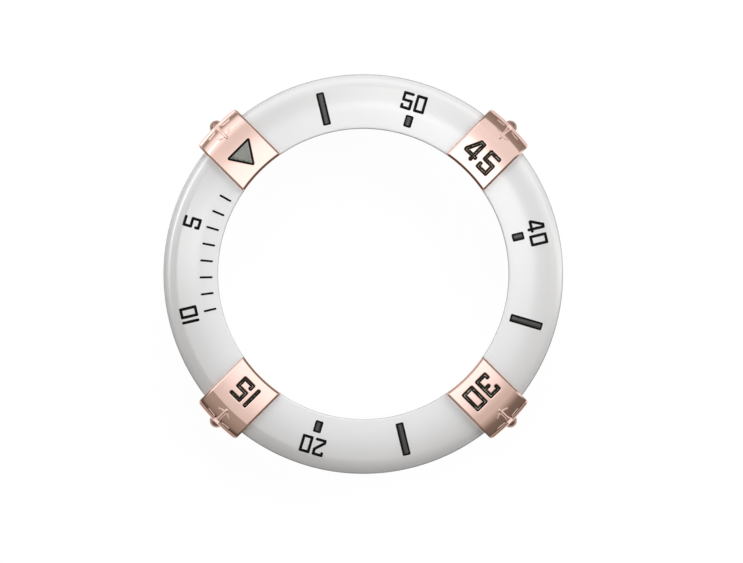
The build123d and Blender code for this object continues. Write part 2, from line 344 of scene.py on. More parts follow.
def padFeeds(tree):
    grain = noise(tree, grain=0.1, detail=6)
    return {
        "Base Color": mixColor(tree, grain, rgb(0.12, 0.12, 0.13), rgb(0.19, 0.19, 0.2)),
        "Roughness": 0.7 + grain * 0.2,
        "Normal": bump(tree, grain, strength=0.5, distance=0.01),
    }


finishes = {
    "white_ceramic": newFinish("whiteCeramic", {"IOR": 2.8}, ceramicFeeds),
    "rose_gold": newFinish("roseGold", {"Metallic": 1.0}, goldFeeds),
    "black_enamel": newFinish("blackEnamel", {"IOR": 1.5, "Specular IOR Level": 0.08}, enamelFeeds),
    "grey_insert": newFinish("greyInsert", {"IOR": 1.8}, insertFeeds),
    "grey_line": newFinish("greyLine", {"IOR": 1.5}, lineFeeds),
    "grey_fill": newFinish("greyFill", {"IOR": 1.5}, fillFeeds),
    "turned_steel": newFinish("turnedSteel", {"Metallic": 1.0}, turnedFeeds),
    "spring_steel": newFinish("springSteel", {"Metallic": 1.0}, wireFeeds),
    "hard_steel": newFinish("hardSteel", {"Metallic": 1.0}, pinFeeds),
    "black_rubber": newFinish("blackRubber", {"IOR": 1.5}, rubberFeeds),
    "adhesive_pad": newFinish("adhesivePad", {"IOR": 1.45}, padFeeds),
}
# painted shade: the screws get a darker copy of the rose gold
shadedScrewGold = newFinish("shadedScrewGold", {"Metallic": 1.0}, shadedScrewFeeds)
slotOf = {part["node"]: part["material_slot"] for part in frame["record"]["subparts"]}
for nodeName, node in frame["nodes"].items():
    for slot in node.material_slots:
        slot.material = finishes[slotOf[nodeName]]
print("finishes made:", len(finishes) + 1)


# Meshes

def newMesh(name, corners, faces):
    mesh = bpy.data.meshes.new(name)
    mesh.from_pydata([tuple(corner) for corner in corners], [], [tuple(face) for face in faces])
    return mesh


def shade(mesh, sharpAngle):
    for face in mesh.polygons:
        face.use_smooth = True
    mesh.set_sharp_from_angle(angle=math.radians(sharpAngle))


def addPiece(name, mesh, body, slotName, nodes, sharpAngle=35):
    # mesh arrives in millimetres, at its place
    mesh.transform(Matrix.Scale(mm, 4))
    shade(mesh, sharpAngle)
    mesh.materials.clear()
    mesh.materials.append(finishes[slotName])
    piece = bpy.data.objects.new(name, mesh)
    bpy.context.scene.collection.objects.link(piece)
    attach(piece, body)
    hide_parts(*nodes)
    return piece


def newGeometryTree(name, inputs):
    # inputs: name to socket type; gives the tree and a way to read each input
    group = bpy.data.node_groups.new(name, "GeometryNodeTree")
    group.interface.new_socket("Geometry", in_out="INPUT", socket_type="NodeSocketGeometry")
    group.interface.new_socket("Geometry", in_out="OUTPUT", socket_type="NodeSocketGeometry")
    for inputName, kind in inputs.items():
        group.interface.new_socket(inputName, in_out="INPUT", socket_type=kind)
    tree = Tree(group)
    entry = tree.node("NodeGroupInput", output=None)
    return tree, {socket.name: Socket(tree, socket) for socket in entry.outputs if socket.name}


def endTree(tree, geometry, material):
    real = tree.node("GeometryNodeRealizeInstances", {}, {"Geometry": geometry})
    covered = tree.node("GeometryNodeSetMaterial", {}, {"Geometry": real, "Material": material})
    tree.node("NodeGroupOutput", {}, {"Geometry": covered})
    return tree.tree


def meshFrom(group, mesh, values):
    # runs a tree on a mesh and gives the result as a plain mesh
    source = bpy.data.objects.new("source", mesh)
    bpy.context.scene.collection.objects.link(source)
    modifier = source.modifiers.new("nodes", "NODES")
    modifier.node_group = group
    identifiers = {item.name: item.identifier for item in group.interface.items_tree
                   if item.in_out == "INPUT"}
    for inputName, value in values.items():
        modifier[identifiers[inputName]] = value
    evaluated = source.evaluated_get(bpy.context.evaluated_depsgraph_get())
    result = bpy.data.meshes.new_from_object(evaluated)
    bpy.data.objects.remove(source)
    return result


def outwards(mesh):
    work = bmesh.new()
    work.from_mesh(mesh)
    bmesh.ops.recalc_face_normals(work, faces=work.faces)
    work.to_mesh(mesh)
    work.free()
    return mesh


def latheTree(material):
    # turns the profile given as the mesh's own points, X outwards and Z up, about Z
    tree, given = newGeometryTree("lathe", {"Rows": "NodeSocketInt", "Steps": "NodeSocketInt"})
    rows, steps = given["Rows"], given["Steps"]
    grid = tree.node("GeometryNodeMeshGrid", {}, {
        "Size X": 1.0, "Size Y": 1.0, "Vertices X": steps + 1, "Vertices Y": rows,
    })
    index = tree.node("GeometryNodeInputIndex")
    position = tree.node("GeometryNodeInputPosition")
    row = index % rows
    column = tree.node("ShaderNodeMath", {"operation": "FLOOR"}, {0: (index + 0.5) / rows})
    point = tree.node("GeometryNodeSampleIndex", {"data_type": "FLOAT_VECTOR"}, {
        "Geometry": given["Geometry"], "Value": position, "Index": row,
    })
    turned = tree.node("ShaderNodeVectorRotate", {"rotation_type": "Z_AXIS"}, {
        "Vector": point, "Angle": column * (2 * math.pi) / steps,
    })
    placed = tree.node("GeometryNodeSetPosition", {}, {"Geometry": grid, "Position": turned})
    merged = tree.node("GeometryNodeMergeByDistance", {}, {"Geometry": placed, "Distance": mergeGap})
    return endTree(tree, merged, material)


def lathe(name, profile, steps, slotName):
    # profile is a closed list of (radius, height)
    points = [(radius, 0, height) for radius, height in profile]
    mesh = newMesh(name, points, [])
    made = meshFrom(latheTree(finishes[slotName]), mesh, {"Rows": len(points), "Steps": steps})
    return outwards(made)


def arrayTree(material):
    # repeats the mesh about Z, as many times as Count says
    tree, given = newGeometryTree("ringArray", {
        "Count": "NodeSocketInt", "Start": "NodeSocketFloat", "Step": "NodeSocketFloat",
    })
    points = tree.node("GeometryNodePoints", {}, {"Count": given["Count"]})
    index = tree.node("GeometryNodeInputIndex")
    angle = given["Start"] + index * given["Step"]
    turn = tree.node("ShaderNodeCombineXYZ", {}, {"Z": angle})
    copies = tree.node("GeometryNodeInstanceOnPoints", {}, {
        "Points": points, "Instance": given["Geometry"], "Rotation": turn,
    })
    return endTree(tree, copies, material)


def repeated(mesh, slotName, count, start, step):
    return meshFrom(arrayTree(finishes[slotName]), mesh, {
        "Count": count, "Start": math.radians(start), "Step": math.radians(step),
    })


# Top faces: a crown that starts level at the opening, then a shoulder that falls away

class TopFace:
    def __init__(self, radii, heights, lastSlope):
        self.radii, self.heights = radii, heights
        bendSlope = 2 * (heights[1] - heights[0]) / (radii[1] - radii[0])
        self.slopes = (0, bendSlope, lastSlope)

    def cubic(self, start, radius):
        # the curve between two of the three points, with given slopes at both
        span = self.radii[start + 1] - self.radii[start]
        way = (radius - self.radii[start]) / span
        rest = 1 - way
        low, high = self.heights[start], self.heights[start + 1]
        slopeLow, slopeHigh = self.slopes[start] * span, self.slopes[start + 1] * span
        return (low * (1 + 2 * way) * rest ** 2 + high * (3 - 2 * way) * way ** 2
                + slopeLow * way * rest ** 2 - slopeHigh * way ** 2 * rest)

    def __call__(self, radius):
        radius = np.asarray(radius, dtype=float)
        return np.where(radius < self.radii[1], self.cubic(0, radius), self.cubic(1, radius))


ringLow, ringHigh = nodeBox("white_ring")
tabHigh = nodeBox("rider_tab_45")[1]
ring = {
    "opening": 13.78,
    "outer": ringHigh[0],
    "bend": 17.59,  # where the crown ends and the shoulder starts
    "fall": 0.28,  # from the top to the bend
    "edgeDrop": 1.0,  # from the top to the outer edge
    "edgeSlope": -1.05,
    "innerRound": 0.12,
    "innerArcs": 8,
    "edgeRound": 0.07,
    "edgeStretch": 1.6,  # the outer round is higher than wide
    "edgeArcs": 5,
    "rows": 30,  # points of the profile on the crown, and as many on the shoulder
    "steps": 720,
}
ringFace = TopFace((ring["opening"], ring["bend"], ring["outer"]),
                   (ringHigh[2], ringHigh[2] - ring["fall"], ringHigh[2] - ring["edgeDrop"]),
                   ring["edgeSlope"])


def makeWhiteRing():
    bottom = ringLow[2]
    profile = []
    inner, outer = ring["innerRound"], ring["edgeRound"]
    for step in range(ring["innerArcs"]):
        turn = math.radians(90 * step / ring["innerArcs"])
        profile.append((ring["opening"] + inner * (1 - math.cos(turn)),
                        ringHigh[2] - inner * (1 - math.sin(turn))))
    radii = np.concatenate([np.linspace(ring["opening"] + inner, ring["bend"], ring["rows"]),
                            np.linspace(ring["bend"], ring["outer"] - outer, ring["rows"])[1:]])
    profile += [(radius, float(ringFace(radius))) for radius in radii]
    edge = profile[-1][1]
    for step in range(1, ring["edgeArcs"] + 1):
        turn = math.radians(90 * step / ring["edgeArcs"])
        profile.append((ring["outer"] - outer * (1 - math.sin(turn)),
                        edge - outer * (1 - math.cos(turn)) * ring["edgeStretch"]))
    profile += [(ring["outer"], bottom), (ring["opening"], bottom), profile[0]]
    mesh = lathe("whiteRing", profile, ring["steps"], "white_ceramic")
    addPiece("whiteRing", mesh, "bezel", "white_ceramic", ["white_ring"])


makeWhiteRing()
print("white ring turned")

# Marks of the scale: the frame's own outlines, cut fine enough to follow the crowned face

marks = {
    "proud": 0.012,
    "tabProud": -0.02,  # on the tabs the marks lie in a pocket
    "lineProud": -0.01,
    "root": 0.06,  # how deep a mark reaches into its face
    "cut": 0.3,  # along a mark
    "fineCut": 0.13,  # across an insert
    "dome": 0.05,
    "batonWidth": 0.48,
    "batonRim": 0.03,  # how much wider the rim and narrower the insert is
    "ringGrow": 0.025,  # heavier strokes
    "tabGrow": -0.02,  # lighter strokes
    "tabLine": 0.026,  # how much narrower the grey line is
    "sideRise": 0.5,  # a face whose normal rises less than this is a side
    "touch": 0.01,  # nearer than this to its inlay, a side is shared with it
    "sameWay": 0.999,  # normals closer than this are one direction
}


def planCopy(nodeName):
    work = bmesh.new()
    work.from_mesh(frame["nodes"][nodeName].data)
    bmesh.ops.transform(work, matrix=Matrix.Scale(1 / mm, 4), verts=work.verts)
    bmesh.ops.remove_doubles(work, verts=work.verts, dist=mergeGap)
    return work


def cutAcross(work, direction, places):
    for place in places:
        bmesh.ops.bisect_plane(work, geom=work.verts[:] + work.edges[:] + work.faces[:],
                               plane_co=direction * place, plane_no=direction)


def planTree(nodes):
    # upper faces of the nodes, laid flat, to measure distances in plan
    corners, faces = [], []
    for nodeName in nodes:
        mesh = frame["nodes"][nodeName].data
        start = len(corners)
        corners += [(vert.co.x / mm, vert.co.y / mm, 0) for vert in mesh.vertices]
        faces += [[start + place for place in face.vertices] for face in mesh.polygons
                  if face.normal.z > marks["sideRise"]]
    return BVHTree.FromPolygons(corners, faces)


def isSide(face):
    return abs(face.normal.z) < marks["sideRise"]


def widen(work, grow, inlay=None, inlayGrow=0):
    # moves a mark's sides outwards; those that it shares with its inlay move by inlayGrow
    work.normal_update()
    moves = []
    for vert in work.verts:
        facing = []
        for face in vert.link_faces:
            if isSide(face) and all(face.normal.dot(known) < marks["sameWay"] for known in facing):
                facing.append(face.normal.copy())
        if not facing:
            continue
        shared = inlay is not None and inlay.find_nearest((vert.co.x, vert.co.y, 0))[3] < marks["touch"]
        total = sum(facing, Vector())
        step = inlayGrow if shared else grow
        moves.append((vert, total * step * len(facing) / total.length_squared))
    for vert, move in moves:
        vert.co += move


def wrapMark(nodeName, angle, face, proud=marks["proud"], halfWidth=0, dome=0,
             grow=0, inlay=None, inlayGrow=0):
    # halfWidth and dome crown a narrow mark across its width
    outward = Vector((math.cos(math.radians(angle)), math.sin(math.radians(angle)), 0))
    across = Vector((-outward.y, outward.x, 0))
    work = planCopy(nodeName)
    if grow or inlay:
        widen(work, grow, inlay and planTree([inlay]), inlayGrow)
    reach = [vert.co.dot(outward) for vert in work.verts]
    cutAcross(work, outward, np.arange(min(reach) + marks["cut"] / 2, max(reach), marks["cut"]))
    if dome:
        cutAcross(work, across, np.arange(-halfWidth + marks["fineCut"] / 2, halfWidth, marks["fineCut"]))
    work.normal_update()
    upper = {vert for part in work.faces if part.normal.z > marks["sideRise"] for vert in part.verts}
    for vert in work.verts:
        height = float(face(math.hypot(vert.co.x, vert.co.y)))
        if vert in upper:
            side = vert.co.dot(across) / halfWidth if dome else 0
            height += proud + dome * (1 - side ** 2)
        else:
            height -= marks["root"]
        vert.co.z = height
    mesh = bpy.data.meshes.new(nodeName)
    work.to_mesh(mesh)
    work.free()
    return mesh


def addMark(nodeName, angle, face, **shape):
    words = nodeName.split("_")
    pieceName = words[0] + "".join(word.capitalize() for word in words[1:])
    mesh = wrapMark(nodeName, angle, face, **shape)
    addPiece(pieceName, mesh, "bezel", slotOf[nodeName], [nodeName])


def makeRingMarks():
    for label in scale["numerals"]:
        lag = scale["tickLag"] if label in scale["lagging"] else scale["markLag"]
        addMark("numeral_" + label, minuteAngle(label, lag), ringFace, grow=marks["ringGrow"])
    for label in scale["batons"]:
        angle = minuteAngle(label, scale["markLag"])
        addMark(f"baton_{label}_rim", angle, ringFace, inlay=f"baton_{label}_insert",
                inlayGrow=marks["batonRim"])
        addMark(f"baton_{label}_insert", angle, ringFace, grow=-marks["batonRim"],
                halfWidth=marks["batonWidth"] / 2, dome=marks["dome"])


ticks = {
    "first": 3,
    "count": 8,
    "start": 0.53,  # from the opening
    "length": 1.24,
    "width": 0.2,
    "along": 10,  # points along and across a tick, and on its round ends
    "across": 7,
    "arcs": 6,
    "tip": 1e-9,  # keeps the very ends from closing to one point
}


def makeTicks():
    # one tick at angle 0, as a grid with round ends, then repeated along the scale
    half = ticks["width"] / 2
    corners, faces = [], []
    stations = np.linspace(0, ticks["length"], ticks["along"] + 1)
    ends = half * (1 - np.cos(np.linspace(0, math.pi / 2, ticks["arcs"])))
    stations = np.unique(np.round(np.concatenate([stations, ends, ticks["length"] - ends]), 6))
    sides = np.linspace(-1, 1, ticks["across"])
    for station in stations:
        gap = half - min(station, ticks["length"] - station, half)
        reach = math.sqrt(max(half ** 2 - gap ** 2, ticks["tip"]))
        radius = ring["opening"] + ticks["start"] + station
        for side in sides:
            height = float(ringFace(radius)) + marks["proud"] * (2 - side ** 2)
            corners.append((radius, side * reach, height))
        for side in (1, -1):
            corners.append((radius, side * reach, float(ringFace(radius)) - marks["root"]))
    row = len(sides) + 2
    for start in range(len(stations) - 1):
        for place in range(row):
            following = (place + 1) % row
            here, there = start * row, (start + 1) * row
            faces.append((here + place, there + place, there + following, here + following))
    for start in (0, len(stations) - 1):
        faces.append([start * row + place for place in range(row)])
    tick = outwards(newMesh("tick", corners, faces))
    start = minuteAngle(ticks["first"], scale["tickLag"])
    mesh = repeated(tick, "black_enamel", ticks["count"], start, scale["minuteStep"])
    addPiece("minuteTicks", mesh, "bezel", "black_enamel", ["minute_ticks"])


makeRingMarks()
makeTicks()
print("ring marks laid")

# Rider tabs: a height field over the plan, with walls down to the ring

tab = {
    "width": 5.0,
    "outer": ring["outer"] + 0.9,
    "bend": 18.015,
    "fall": 0.33,
    "shoulderEnd": 19.62,
    "shoulderSlope": -0.9,
    "crease": (0.02, 0.01),  # width and depth of the line between shoulder and lip
    "lipTop": 3.4,
    "lipFall": 0.15,  # the lip leans outwards
    "skirtFoot": 1.2,
    "skirtGap": 0.02,  # between the skirt and the ring's side
    "recess": 0.15,  # how far the tab's floor reaches into the ring
    "sideEdge": (0.2, 0.16, 1.2),  # broken edges: width, drop and power
    "innerEdge": (0.21, 0.197, 1),
    "lipEdge": (0.08, 0.1, 1),
    "sideLean": (0.84, 0.02),  # square of the share that is broken where the face is level, and the least
    "cornerRound": 0.24,
    "ribHalf": 0.13,
    "ribFootHalf": 0.285,
    "ribFlare": 1.5,  # power by which it widens from waist to foot
    "ribRound": 0.07,  # how far the crest's sides fall
    "ribWall": 3,  # slope beyond them
    "ribStart": 18.19,
    "ribWaist": 19.26,
    "ribFoot": 19.73,
    "ribRise": (0.09, 0.2),  # above the shoulder at the start, and how much more at the end
    "ribEnd": (19.76, -1.6),  # where the steep end meets the lip, and its slope
    "bead": 0.055,  # half width of the fine beads on the shoulder
    "beads": (  # rise, then points across and outwards
        (0.04, ((0.1, 18.52), (0.4, 18.56), (0.68, 18.68))),
        (0.012, ((0.5, 19.47), (0.9, 19.41), (1.32, 19.38))),
    ),
    "pocket": 0.045,
    "pocketEdge": 0.05,
    "markArea": (2.1, 14.4, 17.4),  # half width, and the radii between which the marks lie
    "fine": (14.6, 17.2),  # radii between which the face is cut in cells
    "cell": 0.03,
    "steps": (0.06, 0.05, 0.02),  # inside and outside of the cells, and on the shoulder
    "cuts": {"innerEdge": 10, "crease": 4, "lip": 6, "lipEdge": 8, "sideEdge": 12},
    "floorStrips": 12,
}
tabFace = TopFace((ring["opening"], tab["bend"], tab["shoulderEnd"]),
                  (tabHigh[2], tabHigh[2] - tab["fall"], tab["lipTop"] - tab["crease"][1]),
                  tab["shoulderSlope"])


def tabStations():
    # radii of the cuts, from the opening to the outer wall
    cuts, (inside, outside, shoulder) = tab["cuts"], tab["steps"]
    fineStart, fineEnd = tab["fine"]
    edge = ring["opening"] + np.linspace(0, tab["innerEdge"][0], cuts["innerEdge"])
    creaseEnd = tab["shoulderEnd"] + tab["crease"][0]
    lipEdge = np.linspace(tab["outer"] - tab["lipEdge"][0], tab["outer"], cuts["lipEdge"])
    runs = [edge,
            np.arange(edge[-1], fineStart, inside),
            np.arange(fineStart, fineEnd, tab["cell"]),
            np.arange(fineEnd, tab["bend"], outside),
            np.arange(tab["bend"], tab["shoulderEnd"], shoulder),
            np.linspace(tab["shoulderEnd"], creaseEnd, cuts["crease"]),
            np.linspace(creaseEnd, lipEdge[0], cuts["lip"]),
            lipEdge]
    return np.unique(np.round(np.concatenate(runs), 5))


def tabSides():
    # shares of the half width, close together on the broken sides
    half = tab["width"] / 2
    rounded = 1 - tab["sideEdge"][0] / half * np.linspace(1, 0, tab["cuts"]["sideEdge"])
    inner = np.linspace(0, rounded[0], int(rounded[0] * half / tab["cell"]))
    positive = np.concatenate([inner[:-1], rounded])
    return np.concatenate([-positive[:0:-1], positive])


def edgeDrop(distance, edge):
    # how far a broken edge lies below its face, by the distance from the edge
    width, drop, power = edge
    return drop * np.clip(1 - distance / width, 0, 1) ** power


def ribTop(across, out):
    end, endSlope = tab["ribEnd"]
    rise, more = tab["ribRise"]
    way = np.clip((out - tab["ribStart"]) / (end - tab["ribStart"]), 0, 1)
    crest = np.minimum(tabFace(out) + rise + more * way ** 2, tab["lipTop"] + endSlope * (out - end))
    flare = np.clip((out - tab["ribWaist"]) / (tab["ribFoot"] - tab["ribWaist"]), 0, 1)
    half = tab["ribHalf"] + (tab["ribFootHalf"] - tab["ribHalf"]) * flare ** tab["ribFlare"]
    start = np.clip(tab["ribStart"] + tab["ribHalf"] - out, 0, None)  # round inner end
    side = np.sqrt(across ** 2 + start ** 2) / half
    return crest - tab["ribRound"] * side ** 2 - tab["ribWall"] * np.clip(side - 1, 0, None) * half


def bead(across, out, rise, path):
    # fine raised line through the points of path, the same on both sides of the middle
    gap = np.full(across.shape, np.inf)
    for (startAcross, startOut), (endAcross, endOut) in zip(path[:-1], path[1:]):
        stepAcross, stepOut = endAcross - startAcross, endOut - startOut
        along = (np.abs(across) - startAcross) * stepAcross + (out - startOut) * stepOut
        way = np.clip(along / (stepAcross ** 2 + stepOut ** 2), 0, 1)
        gap = np.minimum(gap, np.hypot(np.abs(across) - startAcross - way * stepAcross,
                                       out - startOut - way * stepOut))
    return rise * np.clip(1 - (gap / tab["bead"]) ** 2, 0, 1)


def markDrop(points, nodes, angle):
    # pocket with a soft edge round the marks; distances are taken in plan
    outline = planTree(nodes)
    turn = Matrix.Rotation(math.radians(angle - 90), 3, "Z")
    halfWidth, inner, outer = tab["markArea"]
    drops = np.zeros(len(points))
    for place, (across, out) in enumerate(points):
        if abs(across) < halfWidth and inner < out < outer:
            gap = outline.find_nearest(turn @ Vector((across, out, 0)), tab["pocketEdge"])[3]
            if gap is not None:
                drops[place] = tab["pocket"] * (1 - gap / tab["pocketEdge"]) ** 2
    return drops


def tabShell(across, out, up, under):
    # closed shell: the height field, its four walls and a floor in strips
    rows, columns = up.shape
    corners = list(zip(across.ravel(), out.ravel(), up.ravel()))
    faces = []
    for row in range(rows - 1):
        for column in range(columns - 1):
            here = row * columns + column
            faces.append((here, here + 1, here + columns + 1, here + columns))
    low = {}

    def lowCorner(row, column):
        if (row, column) not in low:
            low[row, column] = len(corners)
            corners.append((across[row, column], out[row, column], under[row]))
        return low[row, column]

    border = [(0, column) for column in range(columns)]
    border += [(row, columns - 1) for row in range(1, rows)]
    border += [(rows - 1, column) for column in range(columns - 2, -1, -1)]
    border += [(row, 0) for row in range(rows - 2, 0, -1)]
    for here, there in zip(border, border[1:] + border[:1]):
        faces.append((here[0] * columns + here[1], lowCorner(*here), lowCorner(*there),
                      there[0] * columns + there[1]))
    seams = sorted({round(seam) for seam in np.linspace(0, columns - 1, tab["floorStrips"] + 1)})
    for row in range(rows - 1):
        for start, end in zip(seams[:-1], seams[1:]):
            near = range(start, end + 1) if row == 0 else (start, end)
            far = range(start, end + 1) if row == rows - 2 else (start, end)
            faces.append([lowCorner(row, column) for column in near]
                         + [lowCorner(row + 1, column) for column in reversed(far)])
    return outwards(newMesh("tab", corners, faces))


def tabHeights(stations, radii, across, out, reach):
    # shoulder, crease and lip, then beads, rib and broken edges
    creaseWidth, creaseDepth = tab["crease"]
    creaseEnd = tab["shoulderEnd"] + creaseWidth
    crease = tab["lipTop"] - creaseDepth * (creaseEnd - radii) / creaseWidth
    fallen = np.clip((radii - creaseEnd) / (tab["outer"] - creaseEnd), 0, 1)
    up = np.where(radii < creaseEnd, crease, tab["lipTop"] - tab["lipFall"] * fallen)
    up = np.where(radii <= tab["shoulderEnd"], tabFace(radii), up)
    # where the face is steep its sides are broken less, so that they still mirror the dark walls
    lean = np.interp(stations, stations[:-1], np.diff(up[:, 0]) / np.diff(stations))
    level, least = tab["sideLean"]
    sideShare = np.sqrt(np.clip(level - lean ** 2, least, 1))[:, None]
    for rise, path in tab["beads"]:
        up = up + bead(across, out, rise, path)
    up = np.maximum(up, ribTop(across, out))
    up = up - edgeDrop(radii - ring["opening"], tab["innerEdge"])
    up = up - edgeDrop(tab["outer"] - radii, tab["lipEdge"])
    return up - edgeDrop(reach - np.abs(across), tab["sideEdge"]) * sideShare


def marksOf(label):
    if label == "00":
        return ["triangle_rim", "triangle_fill"]
    return [f"numeral_{label}_rim", f"numeral_{label}_line"]


def makeTab(label):
    angle = minuteAngle(label)
    nodes = marksOf(label)
    stations, sides = tabStations(), tabSides()
    radii, shares = np.meshgrid(stations, sides, indexing="ij")
    corner = np.clip(radii - (tab["outer"] - tab["cornerRound"]), 0, tab["cornerRound"])
    reach = tab["width"] / 2 - tab["cornerRound"] + np.sqrt(tab["cornerRound"] ** 2 - corner ** 2)
    across = shares * reach
    out = np.sqrt(radii ** 2 - across ** 2)
    up = tabHeights(stations, radii, across, out, reach)
    points = list(zip(across.ravel(), out.ravel()))
    up = up - markDrop(points, nodes, angle).reshape(up.shape)
    floor = ringFace(stations) - tab["recess"]
    under = np.where(stations < ring["outer"] + tab["skirtGap"], floor, tab["skirtFoot"])
    mesh = tabShell(across, out, up, under)
    mesh.transform(Matrix.Rotation(math.radians(angle - 90), 4, "Z"))
    addPiece("riderTab" + label, mesh, "bezel", "rose_gold", ["rider_tab_" + label], sharpAngle=50)
    if label == "00":
        for nodeName in nodes:
            addMark(nodeName, angle, tabFace, proud=marks["tabProud"])
        return
    rim, line = nodes
    addMark(rim, angle, tabFace, proud=marks["tabProud"], grow=marks["tabGrow"], inlay=line,
            inlayGrow=marks["tabLine"])
    addMark(line, angle, tabFace, proud=marks["lineProud"], grow=-marks["tabLine"])


for label in scale["tabs"]:
    makeTab(label)
print("rider tabs and their marks made")

# Tab screws: domed slotted heads on plain shanks

screw = {
    "count": 4,
    "first": 45,  # degrees of the first one, and between two
    "step": 90,
    "axisUp": 2.21,
    "headRadius": 0.65,
    "headHeight": 0.56,
    "headSink": 0.05,
    "headRim": 0.02,
    "domeArcs": 16,
    "shankRadius": 0.4,
    "shankEnd": 17.45,
    "slotHalf": 0.1,
    "slotDepth": 0.16,
    "slotEdge": 0.001,  # points on the slot's two cuts stay up
    "steps": 64,
}


def makeScrews():
    seat = tab["outer"] - screw["headSink"]
    profile = []
    dome = (screw["headRadius"] ** 2 + screw["headHeight"] ** 2) / (2 * screw["headHeight"])
    low = screw["headHeight"] - dome
    arcs, rim = screw["domeArcs"], screw["headRim"]
    for step in range(arcs + 1):
        radius = screw["headRadius"] * math.sin(math.radians(90 * step / arcs))
        profile.append((radius, low + math.sqrt(dome ** 2 - radius ** 2)))
    profile[-1] = (screw["headRadius"] - rim, profile[-1][1])
    profile += [(screw["headRadius"], -rim), (screw["shankRadius"], -rim),
                (screw["shankRadius"], screw["shankEnd"] - seat), (0.0, screw["shankEnd"] - seat)]
    mesh = lathe("screw", profile, screw["steps"], "rose_gold")
    work = bmesh.new()
    work.from_mesh(mesh)
    bmesh.ops.holes_fill(work, edges=work.edges)
    for place in (-screw["slotHalf"], screw["slotHalf"]):
        bmesh.ops.bisect_plane(work, geom=work.verts[:] + work.edges[:] + work.faces[:],
                               plane_co=(place, 0, 0), plane_no=(1, 0, 0))
    for vert in work.verts:
        if abs(vert.co.x) < screw["slotHalf"] - screw["slotEdge"]:
            vert.co.z = min(vert.co.z, screw["headHeight"] - screw["slotDepth"])
    # the screw's own Z becomes outwards, its slot lies level
    bmesh.ops.transform(work, matrix=Matrix(((0, 0, 1, seat), (0, 1, 0, 0),
                                             (-1, 0, 0, screw["axisUp"]), (0, 0, 0, 1))),
                        verts=work.verts)
    work.to_mesh(mesh)
    work.free()
    made = repeated(outwards(mesh), "rose_gold", screw["count"], screw["first"], screw["step"])
    piece = addPiece("tabScrews", made, "bezel", "rose_gold", ["tab_screws"], sharpAngle=40)
    # the screws wear the darker copy of the gold, which is painted shade
    piece.data.materials[0] = shadedScrewGold


makeScrews()
print("screws made")

# Click springs: real coils in place of the frame's sleeves

spring = {
    "wire": 0.14,
    "turns": 4.5,
    "rest": 0.7,  # its length at rest, and with the pin pressed
    "pressed": 0.462,
    "around": 10,
    "perTurn": 36,
}


def coilTree(material):
    tree, given = newGeometryTree("coil", {
        "Turns": "NodeSocketFloat", "Radius": "NodeSocketFloat", "Height": "NodeSocketFloat",
        "Wire": "NodeSocketFloat", "Resolution": "NodeSocketInt",
    })
    path = tree.node("GeometryNodeCurveSpiral", {}, {
        "Resolution": given["Resolution"], "Rotations": given["Turns"],
        "Start Radius": given["Radius"], "End Radius": given["Radius"], "Height": given["Height"],
    })
    section = tree.node("GeometryNodeCurvePrimitiveCircle", {}, {
        "Resolution": spring["around"], "Radius": given["Wire"] / 2,
    })
    swept = tree.node("GeometryNodeCurveToMesh", {}, {
        "Curve": path, "Profile Curve": section, "Fill Caps": True,
    })
    return endTree(tree, swept, material)


def makeSprings():
    group = coilTree(finishes["spring_steel"])
    for number in (1, 2):
        nodeName = f"click_spring_{number}"
        low, high = nodeBox(nodeName)
        outer = (high[0] - low[0]) / 2
        centre = ((low[0] + high[0]) / 2, (low[1] + high[1]) / 2, low[2] + spring["wire"] / 2)
        empty = newMesh("coilStart", [(0, 0, 0)], [])
        mesh = meshFrom(group, empty, {
            "Turns": spring["turns"], "Radius": outer - spring["wire"] / 2,
            "Height": high[2] - low[2] - spring["wire"], "Wire": spring["wire"],
            "Resolution": spring["perTurn"],
        })
        mesh.transform(Matrix.Translation(centre))
        piece = addPiece(f"clickSpring{number}", outwards(mesh), "seat", "spring_steel", [nodeName])
        centre[0] * mm
        centre[1] * mm
        low[2] * mm
        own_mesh(piece)


makeSprings()
print("springs wound")

# Stage, light and camera

stage = {
    "floorHalf": 600,
    "floorDrop": 0.02,
    "floorGrey": 0.85,
    "backdrop": 1.0,
    "glow": 0.95,  # what the camera and reflections see of the floor
    "faint": 0.09,  # and how much shadow it shows
}


def makeFloor():
    half, drop = stage["floorHalf"], -stage["floorDrop"]
    corners = [(-half, -half, drop), (half, -half, drop), (half, half, drop), (-half, half, drop)]
    mesh = newMesh("floor", corners, [(0, 1, 2, 3)])
    mesh.transform(Matrix.Scale(mm, 4))
    material = bpy.data.materials.new("paleFloor")
    material.use_nodes = True
    material.node_tree.nodes.clear()
    tree = Tree(material.node_tree)
    camera = tree.node("ShaderNodeLightPath", output="Is Camera Ray")
    glossy = tree.node("ShaderNodeLightPath", output="Is Glossy Ray")
    through = tree.node("ShaderNodeLightPath", output="Is Transmission Ray")
    mirrored = tree.node("ShaderNodeMath", {"operation": "MAXIMUM"}, {0: glossy, 1: through})
    seen = tree.node("ShaderNodeMath", {"operation": "MAXIMUM"}, {0: camera, 1: mirrored})
    plain = tree.node("ShaderNodeBsdfDiffuse", {}, {"Color": grey(stage["floorGrey"])})
    glow = tree.node("ShaderNodeEmission", {}, {"Color": grey(1), "Strength": stage["glow"]})
    faint = tree.node("ShaderNodeBsdfDiffuse", {}, {"Color": grey(stage["faint"])})
    white = tree.node("ShaderNodeAddShader", {}, {0: glow, 1: faint})
    mixed = tree.node("ShaderNodeMixShader", {}, {0: seen, 1: plain, 2: white})
    tree.node("ShaderNodeOutputMaterial", {}, {"Surface": mixed})
    mesh.materials.append(material)
    floor = bpy.data.objects.new("floor", mesh)
    bpy.context.scene.collection.objects.link(floor)


